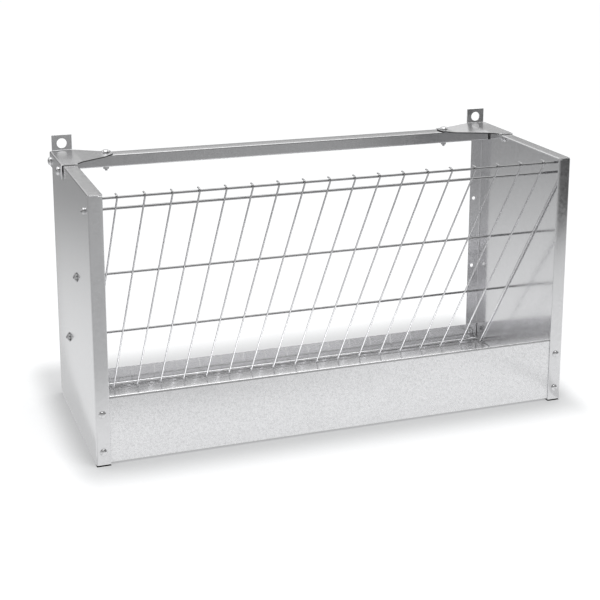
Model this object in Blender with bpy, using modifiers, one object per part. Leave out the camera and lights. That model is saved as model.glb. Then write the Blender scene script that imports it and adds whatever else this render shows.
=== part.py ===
"""Wall hay rack: a galvanised sheet-steel rack for loose hay with a feed trough below its wire grid.

Two folded side panels carry everything. A folded trough joins them at the bottom, a channel rail
joins them at the top rear, and a welded wire grid slopes between them from the front top edge
down to the rear of the trough. Two corner brackets tie the rail to the panels and turn up into
holed tabs that hang the rack on a wall.

Units are metres, +X runs along the rack to the viewer's right, the front faces -Y, +Z is up.
The rack stands on z = 0 with the middle of its length and depth at the origin.
"""

from math import atan2, cos, pi, radians, sin

import bmesh
import bpy
from mathutils import Vector

# Overall sizes
LENGTH = 1.000            # over the outer faces of the side panels
DEPTH = 0.400             # front face of the front flanges to the wall
HEIGHT = 0.533            # floor to the top of the side panels

# Sheet metal
SHEET = 0.0012            # thickness of panels, trough and rail
BEND_INSIDE = 0.0018      # inside radius of every fold in the thin sheet
HEM_LAYER_GAP = 0.0004    # between a sheet and its folded-over edge
HEM_RETURN = 0.0055       # length of the strip that is folded back
HEM_CLEAR = 0.0015        # between a hem and the flange across its end
GAP = 0.0003              # clearance between touching pieces
ARC_STEPS = 3             # facets in a fold

# Side panels
FLANGE = 0.028            # width of the front and top flanges, seen from outside
REAR_FLANGE = 0.0290
BOTTOM_FLANGE = 0.026
FRONT_FLANGE_LIFT = 0.0028    # the front flange stops this high above the floor
BOTTOM_FLANGE_SETBACK = 0.010  # the bottom flange starts this far behind the front face
WALL_HOLE = 0.0080        # in the rear flanges
WALL_HOLE_HEIGHTS = (0.189, 0.354)
REAR_HOLE_EDGE = 0.010    # from a rear flange's free edge to the middles of its holes

# Feed trough
TROUGH_LIFT = 0.0036      # between the panels' bottom flanges and the trough
TROUGH_FRONT_TOP = 0.1388  # height of the front wall's top edge above the floor
TROUGH_REAR_TOP = 0.0418  # height of the rear wall's top edge above the floor

# Rear top rail, a channel that is open to the wall
RAIL_DEPTH = 0.0350
RAIL_HEIGHT = 0.0255
RAIL_DROP = 0.0075        # rail's top below the panels' top

# Corner brackets
PLATE = 0.0025            # thickness
PLATE_BEND_INSIDE = 0.0010    # inside radius of a fold
BRACKET_REACH = 0.140     # from the wall to the bracket's front edge
BRACKET_FRONT_WIDTH = 0.033   # length of the front edge, from the outer face
BRACKET_STANDOFF = 0.0018     # between the bracket's side flange and the panel
BRACKET_SIDE_HEIGHT = 0.030   # height of the side flange
BRACKET_SLOPE = 0.049     # length along X of the slope from the plate down to the rail
BRACKET_ARM_FLAT = 0.031  # length of the arm's end that lies flat on the rail
TAB_RELIEF = 0.0018       # between the wall tab and the side flange's fold
TAB_WIDTH = 0.0415
TAB_HEIGHT = 0.032        # above the plate
HANG_HOLE = 0.021         # diameter of the hole in the tab
HANG_HOLE_RISE = 0.0145   # centre above the plate

# Wire grid
SUPPORT_ROD = 0.0050      # diameter of the rod that carries the grid's top
CROSS_ROD = 0.0045        # diameter of the other rods
WIRE = 0.0035             # diameter of the slanting wires
WIRES = 20
END_WIRE_GAP = 0.0012     # between the end wires and the panels
WIRE_STUB = 0.0165        # how far a wire runs back behind the top rod
WIRE_TURN_STEPS = 5       # facets in the bend over the top rod
GRID_FRONT_GAP = 0.0053   # between the wires and the front flanges' hems
GRID_TOP_GAP = 0.0021     # between the wires and the top flanges' hems
GRID_REAR_GAP = 0.0206    # between the bottom rod and the trough's rear wall
GRID_FLOOR_GAP = 0.0020   # between the bottom rod and the trough's floor
SUPPORT_ROD_DROP = 0.025  # height from the top rod down to the support rod
CROSS_ROD_DROP = 0.161    # height from the support rod to the next rod, and on to the next
ROD_OVERHANG = 0.0045     # how far a rod that goes through a panel sticks out
FREE_ROD_GAP = 0.0008     # between the ends of the top and bottom rods and the panels

# Fasteners
BOLT = 0.0060             # shank diameter
BOLT_HEAD = 0.0128        # head diameter
BOLT_HEAD_HEIGHT = 0.0036
BOLT_TAIL = 0.0030        # how far a bolt sticks out of its nut
BOLT_TIP = 0.0008         # bevel at the end of a bolt
BOLT_STEPS = 16           # facets round a bolt
DOME_STEPS = 4            # facets from a head's middle to its edge
HOLE_STEPS = 20           # facets round a hole
NUT_FLATS = 0.0100        # across the flats
NUT_HEIGHT = 0.0050
UPPER_BOLT_DROP = 0.0335  # below the trough's front edge
LOWER_BOLT_HEIGHT = 0.0288
REAR_BOLT_DROP = 0.0150   # below the trough's rear edge
SIDE_BOLT_SETBACKS = {"rear": 0.0160, "front": 0.1120}  # from the wall
SIDE_BOLT_DROP = 0.0160   # below the panel's top
RAIL_BOLT_EDGE = 0.0130   # from the end of the bracket's arm
PUSH_NUT = 0.0150         # diameter over the points
PUSH_NUT_POINTS = 8
PUSH_NUT_WAIST = 0.78     # radius between the points, as a share of the radius over them
PUSH_NUT_SHEET = 0.0008
COLLAR = 0.0092           # outside diameter of the collar on the support rod's ends
COLLAR_LENGTH = 0.0022
COLLAR_BEVEL = 0.0005
ROD_STEPS = 12            # facets round the support rod

# Places that follow from the sizes above
SIDES = {"left": -1, "right": 1}
FRONT = -DEPTH / 2
WALL = DEPTH / 2
BEND = BEND_INSIDE + SHEET
PLATE_BEND = PLATE_BEND_INSIDE + PLATE
HEM_RADIUS = SHEET + HEM_LAYER_GAP / 2
HEM_DEPTH = 2 * HEM_RADIUS
HEM_NOTCH = HEM_RADIUS + HEM_RETURN + HEM_CLEAR
PANEL_INNER = LENGTH / 2 - SHEET
SHEET_END = PANEL_INNER - BEND_INSIDE - GAP  # ends of the trough and the rail, clear of the folds
TROUGH_FRONT = FRONT + HEM_DEPTH + GAP
TROUGH_REAR = WALL - SHEET - GAP
TROUGH_BOTTOM = SHEET + TROUGH_LIFT
TROUGH_FLOOR = TROUGH_BOTTOM + SHEET
RAIL_REAR = WALL - SHEET - GAP
RAIL_FRONT = RAIL_REAR - RAIL_DEPTH
RAIL_TOP = HEIGHT - RAIL_DROP
RAIL_BOTTOM = RAIL_TOP - RAIL_HEIGHT
RAIL_MIDDLE = (RAIL_FRONT + RAIL_REAR) / 2
BRACKET_OUTER = LENGTH / 2 + BRACKET_STANDOFF + PLATE
BRACKET_TOP = HEIGHT + GAP + PLATE
ARM_TOP = RAIL_TOP + GAP + PLATE
TAB_OUTER = BRACKET_OUTER - PLATE_BEND - TAB_RELIEF
TAB_INNER = TAB_OUTER - TAB_WIDTH
SLOPE_START = TAB_INNER - GAP
SLOPE_END = SLOPE_START - BRACKET_SLOPE
ARM_TIP = SLOPE_END - BRACKET_ARM_FLAT
WIRE_OFFSET = SUPPORT_ROD / 2 + WIRE / 2 + GAP  # from the rods' middles to the wires' middles
WIRE_REACH = WIRE_OFFSET + WIRE / 2
TOP_ROD_Y = FRONT + HEM_DEPTH + GRID_FRONT_GAP + WIRE_REACH
TOP_ROD_Z = HEIGHT - HEM_DEPTH - GRID_TOP_GAP - WIRE_REACH
BOTTOM_ROD_Y = TROUGH_REAR - SHEET - GRID_REAR_GAP - CROSS_ROD / 2
BOTTOM_ROD_Z = TROUGH_FLOOR + GRID_FLOOR_GAP + CROSS_ROD / 2
GRID_TOP = Vector((0, TOP_ROD_Y, TOP_ROD_Z))
GRID_FOOT = Vector((0, BOTTOM_ROD_Y, BOTTOM_ROD_Z))
GRID_ALONG = (GRID_FOOT - GRID_TOP).normalized()
GRID_OUT = Vector((0, GRID_ALONG.z, -GRID_ALONG.y))  # square to the grid, to its lower front side
FRONT_BOLT_X = LENGTH / 2 - FLANGE / 2
FRONT_BOLT_HEIGHTS = {"lower": LOWER_BOLT_HEIGHT, "upper": TROUGH_FRONT_TOP - UPPER_BOLT_DROP}
REAR_HOLE_X = LENGTH / 2 - REAR_FLANGE + REAR_HOLE_EDGE
REAR_BOLT_HEIGHT = TROUGH_REAR_TOP - REAR_BOLT_DROP
SIDE_BOLT_HEIGHT = HEIGHT - SIDE_BOLT_DROP
RAIL_BOLT_X = ARM_TIP + RAIL_BOLT_EDGE
BOLT_HOLE = BOLT / 2 + GAP
CUTTER_LENGTH = 0.016     # enough to pass through any one sheet and clear its neighbours' folds

COLLECTION = bpy.data.collections.new("wall_hay_rack")
CUTTERS = bpy.data.collections.new("cutters")


# Scene and materials

def clear_scene():
    for thing in list(bpy.data.objects):
        bpy.data.objects.remove(thing, do_unlink=True)
    bpy.context.scene.collection.children.link(COLLECTION)
    bpy.context.scene.collection.children.link(CUTTERS)


def material(name, colour, roughness, metallic):
    """A Principled material with one colour, roughness and metallic value."""
    made = bpy.data.materials.new(name)
    made.use_nodes = True
    shader = made.node_tree.nodes["Principled BSDF"]
    shader.inputs["Base Color"].default_value = (*colour, 1)
    shader.inputs["Roughness"].default_value = roughness
    shader.inputs["Metallic"].default_value = metallic
    return made


def zinc(name, grey=0.52, roughness=0.38):
    return material(f"{name}_zinc", (grey, grey, grey * 1.02), roughness, 0.9)


def place(name, mesh, finish):
    """Adds a mesh to the rack as the object of one node."""
    made = bpy.data.objects.new(name, mesh)
    made.data.materials.append(finish)
    COLLECTION.objects.link(made)
    return made


def smooth_mesh(bm, name):
    """Turns a bmesh into a mesh whose small angles are shaded smooth."""
    mesh = bpy.data.meshes.new(name)
    bm.to_mesh(mesh)
    bm.free()
    mesh.shade_smooth()
    mesh.set_sharp_from_angle(angle=radians(35))
    return mesh


# Folded sheet

def fold_path(length, radius, hem=False):
    """A fold and its flange as (towards the outer face, inwards) steps from the flat's edge.

    The flange ends at length inwards. With a hem its edge turns back on itself.
    """
    steps = [(radius * sin(a), radius * (1 - cos(a)))
             for a in (pi / 2 * k / ARC_STEPS for k in range(1, ARC_STEPS + 1))]
    if not hem:
        return steps + [(radius, length)]
    notch = length - HEM_NOTCH
    steps += [(radius, notch), (radius, notch + GAP), (radius, length - HEM_RADIUS)]
    turn = (pi * k / (2 * ARC_STEPS) for k in range(1, 2 * ARC_STEPS + 1))
    middle = radius - HEM_RADIUS
    steps += [(middle + HEM_RADIUS * cos(a), length - HEM_RADIUS + HEM_RADIUS * sin(a)) for a in turn]
    return steps + [(radius - HEM_DEPTH, length - HEM_RADIUS - HEM_RETURN)]


def no_more(inward):
    return 0


def fold_edge(bm, first, last, path, outwards, inwards, first_reach=no_more, last_reach=no_more):
    """Extrudes the edge between two corners of a flat along a fold path.

    first_reach and last_reach say how far past its corner each end of a row goes, at a distance inwards.
    """
    corners = [first.co.copy(), last.co.copy()]
    along = (corners[1] - corners[0]).normalized()
    edge = bm.edges.get((first, last))
    for out, inward in path:
        grown = bmesh.ops.extrude_edge_only(bm, edges=[edge])["geom"]
        edge = next(g for g in grown if isinstance(g, bmesh.types.BMEdge))
        ends = sorted(edge.verts, key=lambda v: v.co.dot(along))
        for end, corner, reach in zip(ends, corners, (-first_reach(inward), last_reach(inward))):
            end.co = corner + outwards * out + inwards * inward + along * reach


def solid_sheet(name, bm, thickness, finish, inside):
    """Gives an open sheet its thickness on the side where the point inside lies."""
    bmesh.ops.recalc_face_normals(bm, faces=bm.faces)
    flat = max(bm.faces, key=lambda f: f.calc_area())
    if (flat.calc_center_median() - Vector(inside)).dot(flat.normal) < 0:
        bmesh.ops.reverse_faces(bm, faces=bm.faces)
    made = place(name, smooth_mesh(bm, name), finish)
    wall = made.modifiers.new("thickness", "SOLIDIFY")
    wall.thickness = thickness
    wall.offset = -1
    wall.use_even_offset = True
    return made


def drill(thing, holes):
    """Cuts round holes out of an object. A hole is (radius, centre, the axis it runs along)."""
    group = bpy.data.collections.new(f"{thing.name}_cutters")
    CUTTERS.children.link(group)
    turns = {"X": (0, pi / 2, 0), "Y": (pi / 2, 0, 0), "Z": (0, 0, 0)}
    for number, (radius, centre, axis) in enumerate(holes):
        name = f"{thing.name}_cutter_{number}"
        bm = bmesh.new()
        bmesh.ops.create_cone(bm, cap_ends=True, segments=HOLE_STEPS, radius1=radius, radius2=radius,
                              depth=CUTTER_LENGTH)
        cutter = bpy.data.objects.new(name, smooth_mesh(bm, name))
        cutter.location = centre
        cutter.rotation_euler = turns[axis]
        cutter.hide_render = True
        cutter.display_type = "WIRE"
        group.objects.link(cutter)
    cut = thing.modifiers.new("holes", "BOOLEAN")
    cut.operation = "DIFFERENCE"
    cut.solver = "EXACT"
    cut.operand_type = "COLLECTION"
    cut.collection = group


# Side panels

def on_grid(height):
    """The point of the grid's slanting line at a height above the floor."""
    return GRID_TOP + GRID_ALONG * ((GRID_TOP.z - height) / -GRID_ALONG.z)


def through_rods():
    """Middles of the rods that pass through the panels: the support rod, then two cross rods."""
    support = GRID_TOP.z - SUPPORT_ROD_DROP
    return [on_grid(support - CROSS_ROD_DROP * k) for k in range(3)]


def past_fold(reach):
    """A reach that the flange has and its fold hasn't."""
    return lambda inward: reach if inward > BEND - GAP else 0


def front_flange_top(inward):
    """The front flange ends under the top flange, and lower where it meets that flange's hem."""
    under = HEM_DEPTH + HEM_CLEAR if inward > FLANGE - HEM_NOTCH else SHEET + 2 * GAP
    return past_fold(BEND - under)(inward)


def side_panel(name, side):
    """One folded side: a flat with flanges at the front, top, rear and bottom. side is -1 or 1."""
    outer = side * LENGTH / 2
    inwards = Vector((-side, 0, 0))
    low, high = BEND, HEIGHT - BEND
    front, rear = FRONT + BEND, WALL - BEND
    bm = bmesh.new()
    front_low, rear_low, rear_high, front_high = (
        bm.verts.new((outer, y, z)) for y, z in ((front, low), (rear, low), (rear, high), (front, high)))
    bm.faces.new((front_low, rear_low, rear_high, front_high))
    hemmed = fold_path(FLANGE, BEND, hem=True)
    fold_edge(bm, front_low, front_high, hemmed, Vector((0, -1, 0)), inwards,
              lambda inward: BEND - FRONT_FLANGE_LIFT, front_flange_top)
    fold_edge(bm, front_high, rear_high, hemmed, Vector((0, 0, 1)), inwards, past_fold(BEND - GAP))
    fold_edge(bm, rear_low, rear_high, fold_path(REAR_FLANGE, BEND), Vector((0, 1, 0)), inwards,
              last_reach=past_fold(BEND - HEM_DEPTH - HEM_CLEAR))
    fold_edge(bm, front_low, rear_low, fold_path(BOTTOM_FLANGE, BEND), Vector((0, 0, -1)), inwards,
              lambda inward: BEND - BOTTOM_FLANGE_SETBACK)
    panel = solid_sheet(name, bm, SHEET, zinc(name), (0, 0, HEIGHT / 2))

    rods = [SUPPORT_ROD, CROSS_ROD, CROSS_ROD]
    holes = [(rod / 2 + GAP, (outer, *middle.yz), "X") for rod, middle in zip(rods, through_rods())]
    holes += [(BOLT_HOLE, (outer, WALL - setback, SIDE_BOLT_HEIGHT), "X")
              for setback in SIDE_BOLT_SETBACKS.values()]
    holes += [(BOLT_HOLE, (side * FRONT_BOLT_X, FRONT, z), "Y") for z in FRONT_BOLT_HEIGHTS.values()]
    holes += [(WALL_HOLE / 2, (side * REAR_HOLE_X, WALL, z), "Y") for z in WALL_HOLE_HEIGHTS]
    holes.append((BOLT_HOLE, (side * REAR_HOLE_X, WALL, REAR_BOLT_HEIGHT), "Y"))
    drill(panel, holes)


# Trough and rail

def folded_strip(name, points, finish, inside):
    """Carries an open profile of (y, z) points along X, and gives it its thickness."""
    bm = bmesh.new()
    row = [bm.verts.new((-SHEET_END, y, z)) for y, z in points]
    lines = [bm.edges.new(pair) for pair in zip(row, row[1:])]
    grown = bmesh.ops.extrude_edge_only(bm, edges=lines)["geom"]
    moved = [g for g in grown if isinstance(g, bmesh.types.BMVert)]
    bmesh.ops.translate(bm, verts=moved, vec=(2 * SHEET_END, 0, 0))
    return solid_sheet(name, bm, SHEET, finish, inside)


def arc(centre, radius, start, end, steps):
    """(y, z) points of an arc from start to end, in degrees from +Y towards +Z."""
    angles = (radians(start + (end - start) * k / steps) for k in range(steps + 1))
    return [(centre[0] + radius * cos(a), centre[1] + radius * sin(a)) for a in angles]


def feed_trough():
    """A hemmed front wall, a level floor and a low rear wall, folded from one sheet."""
    low, front, rear = TROUGH_BOTTOM, TROUGH_FRONT, TROUGH_REAR
    top = TROUGH_FRONT_TOP - HEM_RADIUS
    profile = [(front + HEM_DEPTH, top - HEM_RETURN)]
    profile += arc((front + HEM_RADIUS, top), HEM_RADIUS, 0, 180, 2 * ARC_STEPS)
    profile += arc((front + BEND, low + BEND), BEND, 180, 270, ARC_STEPS)
    profile += arc((rear - BEND, low + BEND), BEND, 270, 360, ARC_STEPS)
    profile += [(rear, TROUGH_REAR_TOP)]
    inside = (0, 0, TROUGH_REAR_TOP)
    trough = folded_strip("feed_trough", profile, zinc("feed_trough", 0.6, 0.5), inside)
    holes = []
    for side in SIDES.values():
        holes += [(BOLT_HOLE, (side * FRONT_BOLT_X, front, z), "Y") for z in FRONT_BOLT_HEIGHTS.values()]
        holes.append((BOLT_HOLE, (side * REAR_HOLE_X, rear, REAR_BOLT_HEIGHT), "Y"))
    drill(trough, holes)


def rear_top_rail():
    """A channel along the wall between the panels, under their top flanges."""
    profile = [(RAIL_REAR, RAIL_TOP)]
    profile += arc((RAIL_FRONT + BEND, RAIL_TOP - BEND), BEND, 90, 180, ARC_STEPS)
    profile += arc((RAIL_FRONT + BEND, RAIL_BOTTOM + BEND), BEND, 180, 270, ARC_STEPS)
    profile += [(RAIL_REAR, RAIL_BOTTOM)]
    middle = (RAIL_TOP + RAIL_BOTTOM) / 2
    rail = folded_strip("rear_top_rail", profile, zinc("rear_top_rail", 0.45), (0, RAIL_MIDDLE, middle))
    drill(rail, [(BOLT_HOLE, (side * RAIL_BOLT_X, RAIL_MIDDLE, z), "Z")
                 for side in SIDES.values() for z in (RAIL_TOP, RAIL_BOTTOM)])


# Corner brackets

def corner_bracket(name, side):
    """A plate with an arm down to the rail, a side flange over the panel and a holed wall tab."""
    outer = BRACKET_OUTER - PLATE_BEND
    front = WALL - BRACKET_REACH
    rear = WALL - PLATE_BEND
    outline = [(outer, front), (BRACKET_OUTER - BRACKET_FRONT_WIDTH, front), (ARM_TIP, RAIL_FRONT + PLATE),
               (ARM_TIP, RAIL_REAR), (TAB_INNER, rear), (TAB_OUTER, rear), (outer, rear)]
    bm = bmesh.new()
    corners = [bm.verts.new((side * x, y, BRACKET_TOP)) for x, y in outline]
    bm.faces.new(corners)
    for x in (SLOPE_START, SLOPE_END):
        geom = bm.verts[:] + bm.edges[:] + bm.faces[:]
        bmesh.ops.bisect_plane(bm, geom=geom, plane_co=(side * x, 0, 0), plane_no=(1, 0, 0), dist=GAP / 10)
    for vert in bm.verts:
        along = min(1, max(0, (SLOPE_START - abs(vert.co.x)) / BRACKET_SLOPE))
        vert.co.z -= along * (BRACKET_TOP - ARM_TOP)
    side_fold = fold_path(BRACKET_SIDE_HEIGHT, PLATE_BEND)
    fold_edge(bm, corners[0], corners[-1], side_fold, Vector((side, 0, 0)), Vector((0, 0, -1)))
    tab_fold = fold_path(TAB_HEIGHT, PLATE_BEND_INSIDE)
    inner, outer_corner = corners[4:6]
    fold_edge(bm, inner, outer_corner, tab_fold, Vector((0, 1, 0)), Vector((0, 0, 1)))
    bracket = solid_sheet(name, bm, PLATE, zinc(name, 0.5, 0.3), (0, 0, 0))

    tab_centre = (side * (TAB_INNER + TAB_OUTER) / 2, WALL, BRACKET_TOP + HANG_HOLE_RISE)
    holes = [(HANG_HOLE / 2, tab_centre, "Y"), (BOLT_HOLE, (side * RAIL_BOLT_X, RAIL_MIDDLE, ARM_TOP), "Z")]
    holes += [(BOLT_HOLE, (side * BRACKET_OUTER, WALL - setback, SIDE_BOLT_HEIGHT), "X")
              for setback in SIDE_BOLT_SETBACKS.values()]
    drill(bracket, holes)


# Wire grid

def tube(name, points, diameter, finish):
    """A round rod or wire along a list of points, as a curve with closed ends."""
    curve = bpy.data.curves.new(name, "CURVE")
    curve.dimensions = "3D"
    curve.bevel_depth = diameter / 2
    curve.bevel_resolution = 3
    curve.use_fill_caps = True
    spline = curve.splines.new("POLY")
    spline.points.add(len(points) - 1)
    for point, co in zip(spline.points, points):
        point.co = (*co, 1)
    curve.materials.append(finish)
    made = bpy.data.objects.new(name, curve)
    COLLECTION.objects.link(made)
    return made


def grid_rods():
    """Five rods along X on the grid's slanting line.

    The support rod and two cross rods pass through the panels. The top and bottom rods end inside.
    """
    inside = PANEL_INNER - FREE_ROD_GAP
    through = LENGTH / 2 + ROD_OVERHANG
    support, upper, lower = through_rods()
    for name, middle, reach in (("grid_top_rod", GRID_TOP, inside),
                                ("grid_upper_cross_rod", upper, through),
                                ("grid_lower_cross_rod", lower, through),
                                ("grid_bottom_rod", GRID_FOOT, inside)):
        tube(name, [(-reach, *middle.yz), (reach, *middle.yz)], CROSS_ROD, zinc(name, 0.5, 0.32))
    support_rod(support, through)


def support_rod(middle, reach):
    """The rod that carries the grid's top, a turned solid with a collar outside each panel."""
    radius, collar = SUPPORT_ROD / 2, COLLAR / 2
    seat = LENGTH / 2 + GAP
    back = seat + COLLAR_LENGTH
    half = [(0, reach), (radius, reach), (radius, back), (collar - COLLAR_BEVEL, back),
            (collar, back - COLLAR_BEVEL), (collar, seat), (radius, seat)]
    profile = half + [(r, -z) for r, z in reversed(half)]
    rod = turned("grid_support_rod", profile, ROD_STEPS, zinc("grid_support_rod", 0.5, 0.32))
    rod.rotation_euler.y = pi / 2
    rod.location = middle


def grid_wires():
    """Slanting wires in front of the rods, bent back over the top rod, that end just above the trough."""
    start = atan2(GRID_OUT.z, GRID_OUT.y) % (2 * pi)
    angles = [start + (pi / 2 - start) * k / WIRE_TURN_STEPS for k in range(WIRE_TURN_STEPS + 1)]
    turn = [GRID_TOP + Vector((0, cos(a), sin(a))) * WIRE_OFFSET for a in angles]
    lowest = TROUGH_FLOOR + GAP - GRID_OUT.z * WIRE / 2
    start_point = turn[0]
    foot = start_point + GRID_ALONG * ((start_point.z - lowest) / -GRID_ALONG.z)
    profile = [foot] + turn + [GRID_TOP + Vector((0, WIRE_STUB, WIRE_OFFSET))]
    end = PANEL_INNER - END_WIRE_GAP - WIRE / 2
    for k in range(WIRES):
        name = f"grid_wire_{k + 1:02d}"
        x = end * (2 * k / (WIRES - 1) - 1)
        tube(name, [(x, *point.yz) for point in profile], WIRE, zinc(name, 0.55, 0.32))


# Fasteners

def turned(name, profile, steps, finish):
    """A solid turned about Z from (radius, height) points that run down its outer side."""
    mesh = bpy.data.meshes.new(name)
    points = [(r, 0, z) for r, z in profile]
    mesh.from_pydata(points, [(k, k + 1) for k in range(len(points) - 1)], [])
    made = place(name, mesh, finish)
    screw = made.modifiers.new("turn", "SCREW")
    screw.steps = steps
    screw.render_steps = steps
    screw.use_merge_vertices = True
    screw.merge_threshold = GAP / 30
    return made


def aim(thing, direction, centre):
    """Turns an object's +Z to a direction and moves it."""
    thing.rotation_mode = "QUATERNION"
    thing.rotation_quaternion = Vector((0, 0, 1)).rotation_difference(direction)
    thing.location = centre


def bolt(name, seat, outward, grip):
    """A dome-headed bolt. The head sits on seat, the shank runs through the grip and a nut."""
    dome = [(BOLT_HEAD / 2 * sin(a), BOLT_HEAD_HEIGHT * cos(a))
            for a in (pi / 2 * k / DOME_STEPS for k in range(DOME_STEPS + 1))]
    end = grip + NUT_HEIGHT + BOLT_TAIL
    shank = [(BOLT / 2, 0), (BOLT / 2, BOLT_TIP - end), (BOLT / 2 - BOLT_TIP, -end), (0, -end)]
    made = turned(name, dome + shank, BOLT_STEPS, zinc(name, 0.6, 0.25))
    aim(made, outward, seat + outward * GAP)


def flat_shape(name, outlines, thickness, finish):
    """A flat piece from closed outlines in XY, the later ones holes in the first. Its middle is z = 0."""
    curve = bpy.data.curves.new(name, "CURVE")
    curve.dimensions = "2D"
    curve.fill_mode = "BOTH"
    curve.extrude = thickness / 2
    for outline in outlines:
        spline = curve.splines.new("POLY")
        spline.points.add(len(outline) - 1)
        for point, (x, y) in zip(spline.points, outline):
            point.co = (x, y, 0, 1)
        spline.use_cyclic_u = True
    curve.materials.append(finish)
    made = bpy.data.objects.new(name, curve)
    COLLECTION.objects.link(made)
    return made


def ring_of_points(count, *radii):
    """Points evenly round the origin, at each radius in turn."""
    turns = [(2 * pi * k / count, radii[k % len(radii)]) for k in range(count)]
    return [(radius * cos(a), radius * sin(a)) for a, radius in turns]


def nut(name, seat, inward):
    """A hexagon nut whose seat faces back along inward."""
    outlines = [ring_of_points(6, NUT_FLATS / 2 / cos(pi / 6)), ring_of_points(12, BOLT / 2 + 2 * GAP)]
    made = flat_shape(name, outlines, NUT_HEIGHT, zinc(name, 0.5, 0.35))
    aim(made, inward, seat + inward * (NUT_HEIGHT / 2))


def fasten(name, seat, outward, stack):
    """One bolt and its nut through a stack of sheets, the head against seat on the outward side."""
    seat, outward = Vector(seat), Vector(outward)
    grip = stack + 2 * GAP
    bolt(f"{name}_bolt", seat, outward, grip)
    nut(f"{name}_nut", seat - outward * (stack + GAP), -outward)


def fasteners():
    for label, side in SIDES.items():
        for level, z in FRONT_BOLT_HEIGHTS.items():
            seat = (side * FRONT_BOLT_X, FRONT, z)
            fasten(f"{label}_{level}_trough_front", seat, (0, -1, 0), TROUGH_FRONT + SHEET - FRONT)
        seat = (side * REAR_HOLE_X, WALL, REAR_BOLT_HEIGHT)
        fasten(f"{label}_trough_rear", seat, (0, 1, 0), WALL - TROUGH_REAR + SHEET)
        for place_name, setback in SIDE_BOLT_SETBACKS.items():
            seat = (side * BRACKET_OUTER, WALL - setback, SIDE_BOLT_HEIGHT)
            fasten(f"{label}_{place_name}_bracket", seat, (side, 0, 0), BRACKET_OUTER - PANEL_INNER)
        seat = (side * RAIL_BOLT_X, RAIL_MIDDLE, ARM_TOP)
        fasten(f"{label}_rail", seat, (0, 0, 1), ARM_TOP - RAIL_TOP + RAIL_HEIGHT)


def push_nuts():
    """Star-edged spring washers pressed on the ends of the two cross rods, outside the panels."""
    star = ring_of_points(2 * PUSH_NUT_POINTS, PUSH_NUT / 2, PUSH_NUT / 2 * PUSH_NUT_WAIST)
    bore = ring_of_points(12, CROSS_ROD / 2 + 2 * GAP)
    for label, side in SIDES.items():
        for level, middle in zip(("upper", "lower"), through_rods()[1:]):
            name = f"{label}_{level}_rod_push_nut"
            made = flat_shape(name, [star, bore], PUSH_NUT_SHEET, zinc(name, 0.6, 0.3))
            offset = LENGTH / 2 + GAP + PUSH_NUT_SHEET / 2
            aim(made, Vector((side, 0, 0)), Vector((side * offset, *middle.yz)))


def main():
    clear_scene()
    for label, side in SIDES.items():
        side_panel(f"{label}_side_panel", side)
        corner_bracket(f"{label}_corner_bracket", side)
    feed_trough()
    rear_top_rail()
    grid_rods()
    grid_wires()
    fasteners()
    push_nuts()


main()
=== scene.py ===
# %% [markdown]
# # A wall hay rack in galvanised steel
# The rack is folded from thin zinc-coated sheet and holds a sloping grid of welded wires above a
# feed trough. Its CAD model is the frame of this scene: each piece below is laid over the CAD
# nodes that it replaces, in the same places. The large forms keep the CAD's sizes. A finer shape
# shows what the CAD leaves out, such as round folds, cut edges, welds and threads.

# %% Load the CAD frame
from math import radians

import bmesh
import bpy
import numpy as np
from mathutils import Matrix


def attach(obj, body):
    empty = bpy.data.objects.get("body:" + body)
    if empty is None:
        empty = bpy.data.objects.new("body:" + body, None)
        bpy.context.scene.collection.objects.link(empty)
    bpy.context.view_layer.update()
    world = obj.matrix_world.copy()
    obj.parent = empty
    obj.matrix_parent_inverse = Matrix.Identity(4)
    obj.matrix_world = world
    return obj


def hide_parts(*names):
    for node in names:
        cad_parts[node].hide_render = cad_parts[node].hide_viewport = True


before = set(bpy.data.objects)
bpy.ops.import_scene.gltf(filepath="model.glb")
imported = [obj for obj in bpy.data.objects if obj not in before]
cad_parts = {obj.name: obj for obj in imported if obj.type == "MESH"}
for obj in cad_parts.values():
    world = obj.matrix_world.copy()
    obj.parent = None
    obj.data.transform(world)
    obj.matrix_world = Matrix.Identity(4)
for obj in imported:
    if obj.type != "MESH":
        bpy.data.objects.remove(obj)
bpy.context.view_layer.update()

# %% [markdown]
# ## From numbers to a mesh
# A surface can be drawn by hand or worked out. Every piece here is worked out: a function gives
# the points of a grid of rows and columns, and quads join the neighbours. Whole arrays keep that
# short, and a size can be changed later without drawing again.

# %% Grids of quads, and one mesh from several grids


def grid_quads(rows, columns, wrap=False):
    """Quads between neighbouring points of a grid. wrap joins the last row to the first."""
    last = rows if wrap else rows - 1
    row, column = np.meshgrid(np.arange(last), np.arange(columns - 1), indexing="ij")
    after = (row + 1) % rows
    corners = [row * columns + column, after * columns + column,
               after * columns + column + 1, row * columns + column + 1]
    return np.stack(corners, -1).reshape(-1, 4)


def joined(shapes):
    """One shape from several: points end to end, and each shape's quads counted on from the last."""
    starts = np.cumsum([0] + [len(points) for points, _ in shapes[:-1]])
    points = np.concatenate([points for points, _ in shapes])
    return points, np.concatenate([quads + start for (_, quads), start in zip(shapes, starts)])


print("a grid of 3 x 3 points has", len(grid_quads(3, 3)), "quads")

# %% [markdown]
# A piece takes two things from the CAD frame: its body and the nodes that it stands for.

# %% One piece of the rack
SHARP = radians(38)  # folds turn by less than this from face to face, and cut edges by more


def in_scene(name, data):
    """A new object that shows a mesh, a lamp or a camera."""
    made = bpy.data.objects.new(name, data)
    bpy.context.scene.collection.objects.link(made)
    return made


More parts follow.
